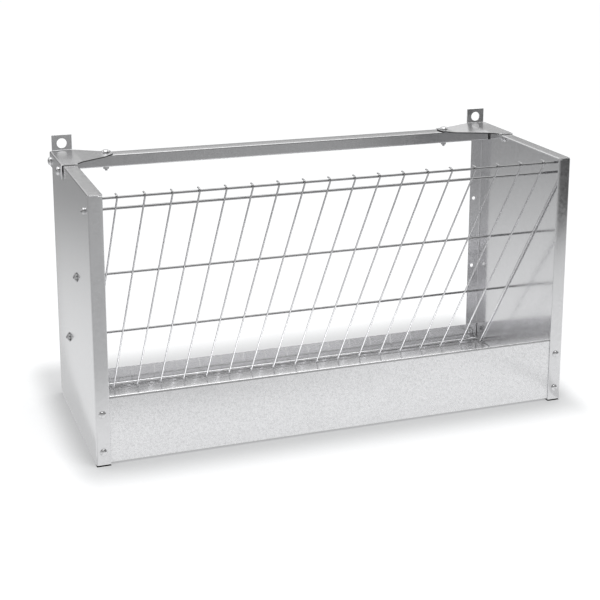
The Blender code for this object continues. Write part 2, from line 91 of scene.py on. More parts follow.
def add_piece(name, shape, material, replaced=(), rim=0.0):
    """A mesh object of the rack. Points that share a place are merged and faces are turned outwards.

    rim rounds every sharp edge by that much. replaced names the CAD nodes that the piece stands for.
    A shape may add a third array: 1 for each quad that is a cut edge of the sheet, and 0 elsewhere.
    """
    points, quads, *cut = shape
    mesh = bpy.data.meshes.new(name)
    mesh.from_pydata(points.tolist(), [], quads.tolist())
    if cut:
        marks = mesh.attributes.new("cut_edge", "FLOAT", "FACE").data
        marks.foreach_set("value", cut[0].astype(np.float32))
    bm = bmesh.new()
    bm.from_mesh(mesh)
    bmesh.ops.remove_doubles(bm, verts=bm.verts, dist=1e-7)
    bmesh.ops.recalc_face_normals(bm, faces=bm.faces)
    bm.to_mesh(mesh)
    bm.free()
    mesh.shade_smooth()
    mesh.set_sharp_from_angle(angle=SHARP)
    mesh.materials.append(material)
    piece = in_scene(name, mesh)
    if rim:
        bevel = piece.modifiers.new("rounded_edges", "BEVEL")
        bevel.width = rim
        bevel.segments = 2
        bevel.limit_method = "ANGLE"
        bevel.angle_limit = SHARP
        bevel.harden_normals = True
    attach(piece, "root")
    if replaced:
        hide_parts(*replaced)
    print(f"{name}: {len(mesh.vertices)} points, {len(mesh.polygons)} faces")


# %% [markdown]
# ## Finishes
# Hot-dip zinc is a metal that has frozen into flat crystals, so it mirrors its surroundings in a
# blur that changes a little from crystal to crystal. An image could carry that, but a procedural
# material stays sharp at any size. The helper below lets node trees be written as sums.

# %% A socket that does sums, and a finish that owns a node tree


class Signal:
    """A node's output. Sums with it add Math nodes, and plain numbers may stand on either side."""

    def __init__(self, finish, socket):
        self.finish = finish
        self.socket = socket

    def maths(self, operation, *values):
        node = self.finish.add("ShaderNodeMath", {"operation": operation}, dict(enumerate(values)))
        return self.finish.signal(node)

    def __add__(self, other):
        return self.maths("ADD", self, other)

    def __sub__(self, other):
        return self.maths("SUBTRACT", self, other)

    def __rsub__(self, other):
        return self.maths("SUBTRACT", other, self)

    def __mul__(self, other):
        return self.maths("MULTIPLY", self, other)

    __radd__, __rmul__ = __add__, __mul__

    def __abs__(self):
        return self.maths("ABSOLUTE", self)

    def axis(self, name):
        """One coordinate of a vector."""
        return self.finish.signal(self.finish.add("ShaderNodeSeparateXYZ", inputs={0: self}), name)

    def smooth_step(self, start, end):
        """0 at start, 1 at end and an S-shaped change between them. Either may be the larger."""
        settings = {"interpolation_type": "SMOOTHSTEP"}
        inputs = {"Value": self, "From Min": start, "From Max": end}
        return self.finish.signal(self.finish.add("ShaderNodeMapRange", settings, inputs), "Result")

    def above(self, edge, soft):
        """1 above an edge. The change from 0 is soft wide and lies below the edge."""
        return self.smooth_step(edge - soft, edge)

    def below(self, edge, soft):
        """1 below an edge. The change from 0 is soft wide and lies above the edge."""
        return self.smooth_step(edge + soft, edge)

    def either(self, other):
        """1 where at least one of the two is 1."""
        return self + other - self * other

    def towards(self, goal, share):
        """This value where share is 0, and the goal where share is 1."""
        return self + share * (goal - self)


class Finish:
    """A node tree with one method that adds any node, and short names for the usual ones."""

    def __init__(self, tree):
        self.tree = tree

    def add(self, kind, settings=None, inputs=None):
        """A node of a kind: its settings first, then the numbers or links of its sockets."""
        node = self.tree.nodes.new(kind)
        for name, value in (settings or {}).items():
            setattr(node, name, value)
        for name, value in (inputs or {}).items():
            if isinstance(value, Signal):
                self.tree.links.new(value.socket, node.inputs[name])
            else:
                node.inputs[name].default_value = value
        return node

    def signal(self, node, output=0):
        return Signal(self, node.outputs[output])

    def vector(self, operation, *values, output=0):
        node = self.add("ShaderNodeVectorMath", {"operation": operation}, dict(enumerate(values)))
        return self.signal(node, output)

    def noise(self, where, scale, detail, roughness=0.5, output=0):
        """Smooth noise around 0.5, with about scale bumps in a metre."""
        inputs = {"Vector": where, "Scale": scale, "Detail": detail, "Roughness": roughness}
        return self.signal(self.add("ShaderNodeTexNoise", inputs=inputs), output)

    def cut_edge(self):
        """1 on the faces that add_piece marks as cut edges."""
        return self.signal(self.add("ShaderNodeAttribute", {"attribute_name": "cut_edge"}), "Fac")


print("Finish and Signal are ready")

# %% [markdown]
# ## Zinc
# Seen close up, the coating shows crystals of a few millimetres, a faint grain, cloudy patches
# and small dull specks. All four are noise at different scales. They shift both the grey and the
# roughness, because the eye reads a metal mostly by how sharply it mirrors.
# A cut edge is duller, and on the brackets it carries a painted highlight. Inside the trough and at the
# foot of the wires the metal is smoother and painted lighter. A gap that is too fine to leave open gets
# painted shade.

# %% One recipe for every zinc finish
ACROSS_GRAIN, ALONG_GRAIN = 900.0, 25.0  # bumps in a metre
PATCHES, SPECKS, UNEVEN, SLOW = 9.0, 250.0, 260.0, 6.0
PAINTED_SHADE_DEPTH = 0.93
BLUE_TINT = 1.012


def zinc(name, grey, roughness, crystal=0.004, crystal_depth=0.05, grain_axis=0, cloud=0.05, speck=0.0,
         wave=0.0, metallic=1.0, edge_tone_and_highlight=-0.08, polish_and_painted_light=None, painted_light_gain=0.16, painted_shade=None):
    """A zinc-coated metal.

    crystal is the size of its crystals in metres, speck the share of dull specks and wave the height in
    metres of its slow unevenness. The cut edge argument is what a cut edge adds to the grey, which above
    0 is a painted highlight. The two functions of the place give 1 where the metal is smoother and
    painted lighter, and 1 where shade is painted dark. The gain is the painted light that the smoother
    places add to the grey.
    """
    material = bpy.data.materials.new(name)
    material.use_nodes = True
    finish = Finish(material.node_tree)
    shader = material.node_tree.nodes["Principled BSDF"]
    place = finish.signal(finish.add("ShaderNodeTexCoord"), "Object")

    # Crystals: the cells of a bent lattice, each with a tilt of its own.
    bent = finish.noise(place, 0.6 / crystal, 2.0, output="Color")
    bent = finish.vector("MULTIPLY_ADD", bent, (crystal * 0.5,) * 3, place)
    cells = finish.add("ShaderNodeTexVoronoi", inputs={"Vector": bent, "Scale": 1 / crystal})
    tilt = finish.signal(cells, "Color").axis("X") - 0.5

    # Grain along the rolled sheet, and cloudy patches.
    stretch = [ACROSS_GRAIN] * 3
    stretch[grain_axis] = ALONG_GRAIN
    grain = finish.noise(finish.vector("MULTIPLY", place, stretch), 1.0, 3.0) - 0.5
    patches = finish.noise(place, PATCHES, 5.0, roughness=0.62) - 0.5

    cut = finish.cut_edge()
    # A cut edge changes the grey, and a change above 0 is a painted highlight.
    shade = 1 + crystal_depth * tilt + 0.03 * grain + cloud * patches + edge_tone_and_highlight * cut
    rough = roughness + 0.9 * crystal_depth * tilt + 0.10 * grain + 0.5 * cloud * patches + 0.25 * cut
    metal = metallic - 0.35 * cut
    if speck:
        dull = finish.noise(place, SPECKS, 2.0).smooth_step(0.44, 0.66) * speck
        shade = shade - 0.22 * dull
        rough = rough + 0.18 * dull
    # Where the metal is smoother it is also painted lighter.
    if polish_and_painted_light:
        smooth = polish_and_painted_light(place)
        rough = rough * (1 - 0.4 * smooth)
        metal = metal + 0.10 * smooth
        shade = shade + smooth * (0.6 * (1 - shade) + painted_light_gain)
    # Where the place function gives 1, shade is painted dark.
    if painted_shade:
        shade = shade * (1 - PAINTED_SHADE_DEPTH * painted_shade(place))
    tone = finish.vector("MULTIPLY", (grey, grey, grey * BLUE_TINT), shade)
    for name, value in (("Base Color", tone), ("Roughness", rough), ("Metallic", metal)):
        finish.tree.links.new(value.socket, shader.inputs[name])

    height = finish.noise(place, UNEVEN, 3.0) * 0.00001 + tilt * 0.000004
    if wave:
        height = height + finish.noise(place, SLOW, 1.0) * wave
    bump = finish.add("ShaderNodeBump", inputs={"Height": height, "Strength": 0.6, "Distance": 1.0})
    finish.tree.links.new(bump.outputs[0], shader.inputs["Normal"])
    return material


rod_zinc = zinc("rod_zinc", 0.37, 0.12, crystal=0.002, crystal_depth=0.08)
weld_zinc = zinc("weld_zinc", 0.76, 0.25, crystal=0.001, crystal_depth=0.15)
bolt_zinc = zinc("bolt_zinc", 0.76, 0.14, crystal=0.002)
nut_zinc = zinc("nut_zinc", 0.66, 0.25, crystal=0.002)
push_nut_steel = zinc("push_nut_steel", 0.52, 0.16, crystal=0.002)
print("finishes:", len(bpy.data.materials))

# %% [markdown]
# ## Sizes of the sheet metal
# All sizes are in metres, and most are the CAD model's. The rack runs along X, its front faces
# -Y and the wall is at +Y.

# %% Sheet metal sizes
LENGTH, DEPTH, HEIGHT = 1.000, 0.400, 0.533
FRONT, WALL = -DEPTH / 2, DEPTH / 2
SHEET = 0.0012
BEND_INSIDE = 0.0018
BEND = BEND_INSIDE + SHEET
HEM_RADIUS = 0.0014
HEM_RETURN = 0.0055
HEM_CLEAR = 0.0015
GAP = 0.0003  # between pieces that touch
EDGE = 0.00022  # rounding of a cut edge
FOLD_STEPS, HEM_STEPS = 8, 12
SIDES = {"left": -1, "right": 1}
print(f"sheet {SHEET * 1000:.1f} mm, folded round {BEND_INSIDE * 1000:.1f} mm")

# %% [markdown]
# ## Folded sheet
# A folded sheet has the same thickness all over, also round its bends. The outer face is worked
# out first, each point with the direction in which the metal lies behind it. Moving a copy of the
# face that way, and closing the gap along every free edge, gives a solid sheet with round folds.
# A Solidify modifier would do nearly the same, but its direction is guessed from the faces.

# %% Thickness for a sheet


def part(grid, behind, wrap=False):
    """A grid of points, the direction behind each point and the quads that join them."""
    behind = np.broadcast_to(np.array(behind, float), grid.shape)
    return grid.reshape(-1, 3), behind.reshape(-1, 3), grid_quads(*grid.shape[:2], wrap=wrap)


def welded(points, behind, quads):
    """Points that share a place become one, so that neighbouring grids become one sheet."""
    cell = np.round(points / 1e-5 + 0.137)
    _, kept, number = np.unique(cell, axis=0, return_index=True, return_inverse=True)
    return points[kept], behind[kept], number.reshape(-1)[quads]


def thickened(points, behind, quads, thickness):
    """A closed sheet: the face, a copy behind it, and a wall on each edge that only one quad has."""
    count = len(points)
    edges = np.stack([quads, np.roll(quads, -1, axis=1)], -1).reshape(-1, 2)
    _, first, uses = np.unique(np.sort(edges, axis=1), axis=0, return_index=True, return_counts=True)
    start, end = edges[first[uses == 1]].T
    walls = np.stack([end, start, start + count, end + count], -1)
    both = np.concatenate([points, points + behind * thickness])
    cut = np.repeat([0.0, 1.0], [2 * len(quads), len(walls)])
    return both, np.concatenate([quads, quads[:, ::-1] + count, walls]), cut


def folded(parts, thickness):
    """One solid sheet from parts that meet along their edges."""
    points, quads = joined([(points, quads) for points, _, quads in parts])
    behind = np.concatenate([behind for _, behind, _ in parts])
    return thickened(*welded(points, behind, quads), thickness)


corners = np.eye(4, 3)
print("one quad becomes", len(thickened(corners, corners, np.array([[0, 1, 2, 3]]), SHEET)[1]), "quads")

# %% [markdown]
# ## Lines across a fold
# Cut across, a flange is a quarter circle and a straight line. The front and top flanges end in
# a hem: the edge is folded flat onto itself, so that no sharp edge meets the animals.

# %% Arcs, flanges and hems


def arc(centre, radius, start, end, steps, inner=True):
    """Points on a circle from one angle to another, in degrees, and the direction behind each point.

    A point is centre + radius * (cos, sin). The metal lies towards the centre, or away from it.
    """
    angle = np.radians(np.linspace(start, end, steps + 1))
    ray = np.stack([np.cos(angle), np.sin(angle)], -1)
    return np.array(centre) + radius * ray, -ray if inner else ray


def flange_line(length, radius=BEND, hem=False, columns=2):
    """(out, inward) points of a quarter circle and a flange, and the direction behind each."""
    points, behind = arc((0, radius), radius, -90, 0, FOLD_STEPS)
    facing = behind[-1]
    if not hem:
        flat = np.linspace(radius, length, columns)[1:]
        points = np.concatenate([points, np.stack([np.full(len(flat), radius), flat], -1)])
        return points, np.concatenate([behind, np.tile(facing, (len(flat), 1))])
    notch = length - HEM_RADIUS - HEM_RETURN - HEM_CLEAR
    flat = np.array([[radius, notch], [radius, notch + GAP]])
    turn, turned_behind = arc((radius - HEM_RADIUS, length - HEM_RADIUS), HEM_RADIUS, 0, 180, HEM_STEPS)
    end = turn[-1:] - [[0, HEM_RETURN]]
    points = np.concatenate([points, flat, turn, end])
    return points, np.concatenate([behind, [facing, facing], turned_behind, turned_behind[-1:]])


def flange(corner, along, outwards, inwards, line, span, starts=0.0, ends=0.0, stations=()):
    """A line carried along a fold.

    point = corner + out * outwards + inward * inwards + distance * along. The first row lies at
    starts and the last at span + ends, which may differ from one point of the line to the next.
    """
    points, behind = line
    axes = np.array([outwards, inwards], float)
    columns = len(points)
    starts, ends = (np.broadcast_to(v, columns).copy() for v in (starts, ends))
    starts[0] = ends[0] = 0.0
    middle = np.tile(np.array(stations, float).reshape(-1, 1), (1, columns))
    distance = np.concatenate([[starts], middle, [span + ends]])
    grid = np.array(corner) + points @ axes + distance[:, :, None] * np.array(along)
    return part(grid, behind @ axes)


print("the line across a hemmed flange has", len(flange_line(0.028, hem=True)[0]), "points")

# %% [markdown]
# ## Round holes in a flat strip
# A hole could be cut with a Boolean. A grid that runs from the hole's rim to the square round it
# is cleaner, and the square takes the place of a few cells of the strip.

# %% A square patch with a round hole


def holed_patch(low, high, centre, radius, per_side):
    """(u, v) points of a rectangle with a hole.

    A row is the straight line from the rim to the rectangle's edge, on the ray from the centre.
    """
    low, high, centre = np.array(low), np.array(high), np.array(centre)
    step = np.arange(per_side) / per_side
    zero = 0 * step
    sides = (step, zero), (zero + 1, step), (1 - step, zero + 1), (zero, 1 - step)
    outside = low + (high - low) * np.concatenate([np.stack(side, -1) for side in sides])
    ray = outside - centre
    rim = centre + radius * ray / np.linalg.norm(ray, axis=1, keepdims=True)
    share = np.linspace(0, 1, 4)[None, :, None]
    return rim[:, None] * (1 - share) + outside[:, None] * share


def placed_patch(patch, origin, u_axis, v_axis, behind):
    """A (u, v) patch laid out in space: point = origin + u * u_axis + v * v_axis."""
    return part(np.array(origin) + patch @ np.array([u_axis, v_axis], float), behind, wrap=True)


print("a holed patch has", len(holed_patch((0, 0), (1, 1), (0.5, 0.5), 0.3, 6)), "points round its hole")

# %% [markdown]
# ## The side panels
# Each side is one sheet: a flat with flanges folded inwards at the front, top, rear and bottom.
# The rear flange has two holes for wall screws. Holes that a bolt fills are left out, because its head
# and nut cover them. The gaps beside a bracket and behind the rail's end get painted shade.

# %% Side panels
FLANGE = 0.028
REAR_FLANGE = 0.029
BOTTOM_FLANGE = 0.026
FRONT_LIFT = 0.0028
BOTTOM_SETBACK = 0.010
WALL_HOLE = 0.008
WALL_HOLE_HEIGHTS = (0.189, 0.354)
HOLE_FROM_EDGE = 0.010
PATCH_SIDE = 6
BRACKET_FRONT = WALL - 0.140
SIDE_HEIGHT = 0.030
RAIL_FRONT = 0.1635
RAIL_TOP, RAIL_BOTTOM = 0.5255, 0.500
PAINTED_SHADE_OUTSIDE, PAINTED_SHADE_TOP = 0.0024, 0.0060  # widths of the painted shadow before a bracket
SKIN = 0.0003  # depth of what is drawn on a face only


def painted_gap_shade(place):
    """1 where shade is painted dark on the panel in narrow gaps: before a bracket, outside and on top,
    and at the rail's end.
    """
    x, y, z = (place.axis(name) for name in "XYZ")
    outside = abs(x).above(LENGTH / 2 - SKIN, SKIN) * z.above(HEIGHT - SIDE_HEIGHT, 0.0005)
    outside = outside * y.above(BRACKET_FRONT - PAINTED_SHADE_OUTSIDE, 0.0004)
    top = z.above(HEIGHT - SKIN, SKIN) * y.above(BRACKET_FRONT - PAINTED_SHADE_TOP, 0.0010)
    inside = abs(x).below(LENGTH / 2 - 0.0008, 0.0004)
    inside = inside * y.above(RAIL_FRONT + SKIN, 0.0005) * y.below(WALL - 0.022, 0.0020)
    inside = inside * z.above(RAIL_BOTTOM + 0.0005, 0.0005) * z.below(RAIL_TOP - 0.0005, 0.0005)
    return y.below(BRACKET_FRONT, 0.0010) * outside.either(top) + inside


panel_zinc = zinc("panel_zinc", 0.75, 0.16, crystal=0.006, grain_axis=2, cloud=0.08, wave=0.0004,
                  metallic=0.97, painted_shade=painted_gap_shade)


def side_panel(side):
    """The outer face of a panel as parts that meet along the flat's four edges."""
    outer = side * LENGTH / 2
    low, high = BEND, HEIGHT - BEND
    front, rear = FRONT + BEND, WALL - BEND
    inwards = (-side, 0, 0)
    reach = (REAR_FLANGE - BEND) / 2
    squares = [(z - reach, z + reach) for z in WALL_HOLE_HEIGHTS]
    stations = np.concatenate([np.linspace(*square, PATCH_SIDE + 1) for square in squares]) - low

    heights = np.concatenate([[0], stations, [high - low]]) + low
    parts = [part(np.array([[(outer, y, z) for y in (front, rear)] for z in heights]), inwards)]

    hemmed = flange_line(FLANGE, hem=True)
    inward = hemmed[0][:, 1]
    past = inward > BEND - GAP
    notch = inward > FLANGE - HEM_RADIUS - HEM_RETURN - HEM_CLEAR
    hem_depth = 2 * HEM_RADIUS
    under_top = np.where(notch, BEND - hem_depth - HEM_CLEAR, BEND - SHEET - 2 * GAP) * past
    parts.append(flange((outer, front, low), (0, 0, 1), (0, -1, 0), inwards, hemmed, high - low,
                        FRONT_LIFT - BEND, under_top, stations))
    parts.append(flange((outer, front, high), (0, 1, 0), (0, 0, 1), inwards, hemmed, rear - front,
                        -(BEND - GAP) * past))
    parts.append(flange((outer, front, low), (0, 1, 0), (0, 0, -1), inwards, flange_line(BOTTOM_FLANGE),
                        rear - front, BOTTOM_SETBACK - BEND))

    line = flange_line(REAR_FLANGE, columns=PATCH_SIDE + 1)
    past = line[0][:, 1] > BEND - GAP
    points, behind, quads = flange((outer, rear, low), (0, 0, 1), (0, 1, 0), inwards, line, high - low,
                                   0.0, (BEND - hem_depth - HEM_CLEAR) * past, stations)
    columns = len(line[0])
    row, column = quads[:, 0] // columns, quads[:, 0] % columns
    in_square = (row % (PATCH_SIDE + 1) > 0) & (column >= columns - 1 - PATCH_SIDE)
    parts.append((points, behind, quads[~in_square]))
    for (bottom, top), z in zip(squares, WALL_HOLE_HEIGHTS):
        patch = holed_patch((BEND, bottom), (REAR_FLANGE, top), (REAR_FLANGE - HOLE_FROM_EDGE, z),
                            WALL_HOLE / 2, PATCH_SIDE)
        parts.append(placed_patch(patch, (outer, WALL, 0), inwards, (0, 0, 1), (0, -1, 0)))
    return folded(parts, SHEET)


for label, side in SIDES.items():
    add_piece(f"{label}_panel_sheet", side_panel(side), panel_zinc,
              [f"{label}_side_panel"], EDGE)

# %% [markdown]
# ## The trough and the rail
# Both are one outline carried along X. The trough has a tall front wall with a hemmed edge, a
# floor and a low rear wall. The rail is a channel that is open to the wall. Two points close to
# the folds keep the rail's front flat, because shading runs smoothly from one point to the next.

# %% Feed trough and rear rail
SHEET_END = LENGTH / 2 - SHEET - BEND_INSIDE - GAP
TROUGH_FRONT = FRONT + 2 * HEM_RADIUS + GAP
TROUGH_REAR = WALL - SHEET - GAP
TROUGH_BOTTOM = 0.0048
TROUGH_FRONT_TOP = 0.1388
TROUGH_REAR_TOP = 0.0418
RAIL_REAR = TROUGH_REAR
TROUGH_HEM = 0.0018
HEM_SHADOW = (0.0040, 0.0014)  # lower and upper edge of the painted shadow under the hem, from the top
FLAT = 0.0006  # from a fold to the point that keeps the rail's front flat


def inside_trough(place):
    """1 inside the trough and on its hem, where the metal is smoother and painted lighter, and 0 on the
    outside of its front wall.
    """
    inner = place.axis("Y").above(TROUGH_FRONT + 0.0008, 0.0005)
    return inner.either(place.axis("Z").above(TROUGH_FRONT_TOP - 0.0016, 0.0014))


def painted_hem_shadow(place):
    """Painted shadow at half strength on the outside of the front wall, in a narrow band under its hem.
    """
    outside = place.axis("Y").below(TROUGH_FRONT + 0.0005, 0.0005)
    height = place.axis("Z")
    low, high = (TROUGH_FRONT_TOP - below_top for below_top in HEM_SHADOW)
    return outside * height.above(low, 0.0004) * height.below(high, 0.0004) * 0.55


def painted_rail_end_shade(place):
    """1 on the last millimetre of the rail's front, where the shade of its narrow gap is painted dark.
    """
    end = abs(place.axis("X")).above(SHEET_END - 0.0010, 0.0004)
    return end * place.axis("Y").below(RAIL_FRONT + 0.0006, 0.0006)


trough_zinc = zinc("trough_zinc", 0.80, 0.20, crystal_depth=0.08, speck=0.42, wave=0.0002, metallic=0.70,
                   polish_and_painted_light=inside_trough, painted_shade=painted_hem_shadow)
rail_zinc = zinc("rail_zinc", 0.56, 0.20, wave=0.0003, painted_shade=painted_rail_end_shade)


def line_of(*pieces):
    """One line from arcs and single points with their directions."""
    return tuple(np.concatenate(rows) for rows in zip(*pieces))


def carried(line, end):
    """An outline of (y, z) points carried along X from -end to end."""
    points, behind = (np.pad(rows, ((0, 0), (1, 0))) for rows in line)
    return part(np.stack([points - [end, 0, 0], points + [end, 0, 0]]), behind)


def point(y, z, behind):
    return np.array([[y, z]]), np.array([behind], float)


hem_top = TROUGH_FRONT_TOP - TROUGH_HEM
trough_line = line_of(
    point(TROUGH_FRONT + 2 * TROUGH_HEM, hem_top - HEM_RETURN, (-1, 0)),
    arc((TROUGH_FRONT + TROUGH_HEM, hem_top), TROUGH_HEM, 0, 180, HEM_STEPS),
    arc((TROUGH_FRONT + BEND, TROUGH_BOTTOM + BEND), BEND, 180, 270, FOLD_STEPS),
    arc((TROUGH_REAR - BEND, TROUGH_BOTTOM + BEND), BEND, 270, 360, FOLD_STEPS),
    point(TROUGH_REAR, TROUGH_REAR_TOP, (-1, 0)),
)
add_piece("trough_sheet", folded([carried(trough_line, SHEET_END)], SHEET), trough_zinc,
          ["feed_trough"], EDGE)

rail_line = line_of(
    point(RAIL_REAR, RAIL_TOP, (0, -1)),
    arc((RAIL_FRONT + BEND, RAIL_TOP - BEND), BEND, 90, 180, FOLD_STEPS),
    point(RAIL_FRONT, RAIL_TOP - BEND - FLAT, (1, 0)),
    point(RAIL_FRONT, RAIL_BOTTOM + BEND + FLAT, (1, 0)),
    arc((RAIL_FRONT + BEND, RAIL_BOTTOM + BEND), BEND, 180, 270, FOLD_STEPS),
    point(RAIL_REAR, RAIL_BOTTOM, (0, 1)),
)
add_piece("rail_channel", folded([carried(rail_line, SHEET_END)], SHEET), rail_zinc,
          ["rear_top_rail"], EDGE)

# %% [markdown]
# ## The corner brackets
# A bracket is thicker plate: it lies over the corner, steps down along an arm to the rail, turns
# down over the side and up into a tab with the hanging hole. The plate is ruled between its front
# and rear edges, whose places depend only on X.

# %% Corner brackets
PLATE = 0.0025
PLATE_BEND_INSIDE = 0.0010
PLATE_BEND = PLATE_BEND_INSIDE + PLATE
BRACKET_OUTER = LENGTH / 2 + 0.0018 + PLATE
BRACKET_TOP = HEIGHT + GAP + PLATE
BRACKET_REAR = WALL - PLATE_BEND
FRONT_EDGE_END = BRACKET_OUTER - 0.033
ARM_TOP = RAIL_TOP + GAP + PLATE
TAB_OUTER = BRACKET_OUTER - PLATE_BEND - 0.0018
TAB_INNER = TAB_OUTER - 0.0415
TAB_HEIGHT = 0.032
HANG_HOLE = 0.021
HANG_HOLE_RISE = 0.0145
SLOPE_START = TAB_INNER - GAP
SLOPE_END = SLOPE_START - 0.058
ARM_TIP = SLOPE_END - 0.022
TIP_ROUND = 0.003
EASE = 0.003  # half the length of the bend at each end of the slope
TAB_SIDE = 8


def arm_height(x):
    """Height of the plate's top: level, a straight slope, level. Each bend is a short parabola."""
    slope = (BRACKET_TOP - ARM_TOP) / (SLOPE_START - SLOPE_END)

    def ramp(t):
        return np.where(t < -EASE, 0, np.where(t > EASE, t, (t + EASE) ** 2 / (4 * EASE)))

    return BRACKET_TOP - slope * (ramp(SLOPE_START - x) - ramp(SLOPE_END - x))


def tip_corner(x):
    """How far the plate's long edges draw in near the arm's tip, on a quarter circle."""
    left = np.clip(x - ARM_TIP, 0, TIP_ROUND)
    return TIP_ROUND - np.sqrt(TIP_ROUND**2 - (TIP_ROUND - left) ** 2)


def corner_bracket(side):
    """The top face of a bracket as parts: the ruled plate, the side flange and the tab with its hole."""
    inner_edge = BRACKET_OUTER - PLATE_BEND
    tab_x = np.linspace(TAB_OUTER, TAB_INNER, TAB_SIDE + 1)
    bends = [np.linspace(c + EASE, c - EASE, 7) for c in (SLOPE_START, SLOPE_END)]
    tip = ARM_TIP + TIP_ROUND * (1 - np.sin(np.linspace(0, np.pi / 2, 7)))
    x = np.unique(np.round(np.concatenate([[inner_edge, FRONT_EDGE_END], tab_x, *bends, tip]), 7))[::-1]
    share = np.clip((FRONT_EDGE_END - x) / (FRONT_EDGE_END - ARM_TIP), 0, 1)
    front = BRACKET_FRONT + share * (RAIL_FRONT + PLATE - BRACKET_FRONT) + tip_corner(x)
    share = np.clip((TAB_INNER - x) / (TAB_INNER - ARM_TIP), 0, 1)
    rear = BRACKET_REAR + share * (RAIL_REAR - BRACKET_REAR) - tip_corner(x)
    rise = np.gradient(arm_height(x), x)
    x, front, rear, rise = (row[:, None] for row in (x, front, rear, rise))
    across = np.linspace(0, 1, 5)
    y = front * (1 - across) + rear * across
    grid = np.stack(np.broadcast_arrays(side * x, y, arm_height(x)), -1)
    down = np.stack([side * rise, 0 * rise, 0 * rise - 1], -1)
    down /= np.linalg.norm(down, axis=-1, keepdims=True)
    parts = [part(grid, down)]

    deep = BRACKET_REAR - BRACKET_FRONT
    parts.append(flange((side * inner_edge, BRACKET_FRONT, BRACKET_TOP), (0, 1, 0), (side, 0, 0),
                        (0, 0, -1), flange_line(SIDE_HEIGHT, PLATE_BEND), deep,
                        stations=across[1:-1] * deep))
    tab_bend = arc((0, PLATE_BEND_INSIDE), PLATE_BEND_INSIDE, -90, 0, 6, inner=False)
    parts.append(flange((side * TAB_INNER, BRACKET_REAR, BRACKET_TOP), (side, 0, 0), (0, 1, 0),
                        (0, 0, 1), tab_bend, TAB_OUTER - TAB_INNER,
                        stations=(tab_x[::-1] - TAB_INNER)[1:-1]))
    low, high = (TAB_INNER, BRACKET_TOP + PLATE_BEND_INSIDE), (TAB_OUTER, BRACKET_TOP + TAB_HEIGHT)
    hole = ((TAB_INNER + TAB_OUTER) / 2, BRACKET_TOP + HANG_HOLE_RISE)
    patch = holed_patch(low, high, hole, HANG_HOLE / 2, TAB_SIDE)
    parts.append(placed_patch(patch, (0, WALL - PLATE, 0), (side, 0, 0), (0, 0, 1), (0, 1, 0)))
    return folded(parts, PLATE)


def painted_arm_edge_shade(place):
    """1 on the cut edge of the sloping arm, where shade is painted dark because it faces away from the
    light.
    """
    y = place.axis("Y")
    arm = y.above(BRACKET_FRONT + 0.0015, 0.0010) * y.below(WALL - 0.011, 0.0010)
    return place.finish.cut_edge() * arm


# The brackets' cut edges get a painted highlight, and the arm's cut edge gets painted shade.
bracket_zinc = zinc("bracket_zinc", 0.72, 0.24, crystal=0.005, crystal_depth=0.03, wave=0.0002,
                    edge_tone_and_highlight=0.38, painted_shade=painted_arm_edge_shade)
for label, side in SIDES.items():
    add_piece(f"{label}_bracket_plate", corner_bracket(side), bracket_zinc,
              [f"{label}_corner_bracket"], 0.0003)

# %% [markdown]
# ## The wire grid
# Five rods run along X on one sloping line. Twenty wires cross them on the lower front side, are
# welded at every crossing and bend back over the top rod. A rod or wire is a circle carried along
# its path. Its ends close in a small bevel, as a shear leaves them.

# %% Tubes along a path


def tube(path, radii, across, sides):
    """A circle carried along a path in one plane: point + radius * (cos * across + sin * up).

    across is square to the path's plane, and up is square to it and to the path's direction.
    """
    direction = np.gradient(path, axis=0)
    direction /= np.linalg.norm(direction, axis=1, keepdims=True)
    across = np.array(across, float)
    up = np.cross(direction, across)
    angle = np.linspace(0, 2 * np.pi, sides, endpoint=False)[:, None, None]
    ring = np.cos(angle) * across + np.sin(angle) * up
    points = path + np.array(radii)[:, None] * ring
    return points.reshape(-1, 3), grid_quads(sides, len(path), wrap=True)


def with_ends(path, radius, bevel):
    """A path with two more points close to each end, and the radii that bevel and close it there."""
    ends = []
    for end, inner in ((path[0], path[1]), (path[-1], path[-2])):
        step = (inner - end) / np.linalg.norm(inner - end) * bevel
        ends.append([end, end + step * 1e-3, end + step])
    whole = np.concatenate([ends[0], path[1:-1], ends[1][::-1]])
    radii = np.full(len(whole), radius)
    radii[[0, -1]] = 0
    radii[[1, -2]] = radius - bevel
    return whole, radii


print("a path of 3 points grows to", len(with_ends(np.eye(3), 0.002, 0.0003)[0]))

# %% [markdown]
# The grid's line comes from its top and bottom rods. The support rod and the two cross rods lie on
# it at even heights and pass through the side panels.

# %% Rods
SUPPORT_ROD, CROSS_ROD, BOTTOM_ROD, WIRE = 0.0055, 0.0050, 0.0036, 0.0035
ROD_BEVEL, WIRE_BEVEL = 0.0004, 0.0003
GRID_TOP = np.array([0, -0.1856, 0.5218])
GRID_FOOT = np.array([0, 0.17445, 0.01025])
SUPPORT_HEIGHT = 0.4968
ROD_STEP = 0.161
ROD_END = LENGTH / 2 + 0.0075
INSIDE_END = LENGTH / 2 - SHEET - 0.0008
BRIGHT_FROM, BRIGHT_AT = 0.25, 0.08  # heights between which the wires are painted lighter


def on_grid(height):
    """The grid's line at a height."""
    return GRID_TOP + (GRID_FOOT - GRID_TOP) * (GRID_TOP[2] - height) / (GRID_TOP[2] - GRID_FOOT[2])


def painted_bright_foot(place):
    """1 at the foot of the grid, where the wires are made smoother and painted lighter, and 0 from half
    way up.
    """
    return place.axis("Z").smooth_step(BRIGHT_FROM, BRIGHT_AT)


# The lower wires are made smoother and painted lighter.
wire_zinc = zinc("wire_zinc", 0.49, 0.12, crystal=0.002, crystal_depth=0.08, polish_and_painted_light=painted_bright_foot,
                 painted_light_gain=0.80)


def rod(middle, reach, diameter):
    path = np.array([middle - [reach, 0, 0], middle, middle + [reach, 0, 0]])
    return tube(*with_ends(path, diameter / 2, ROD_BEVEL), (0, 1, 0), 20)


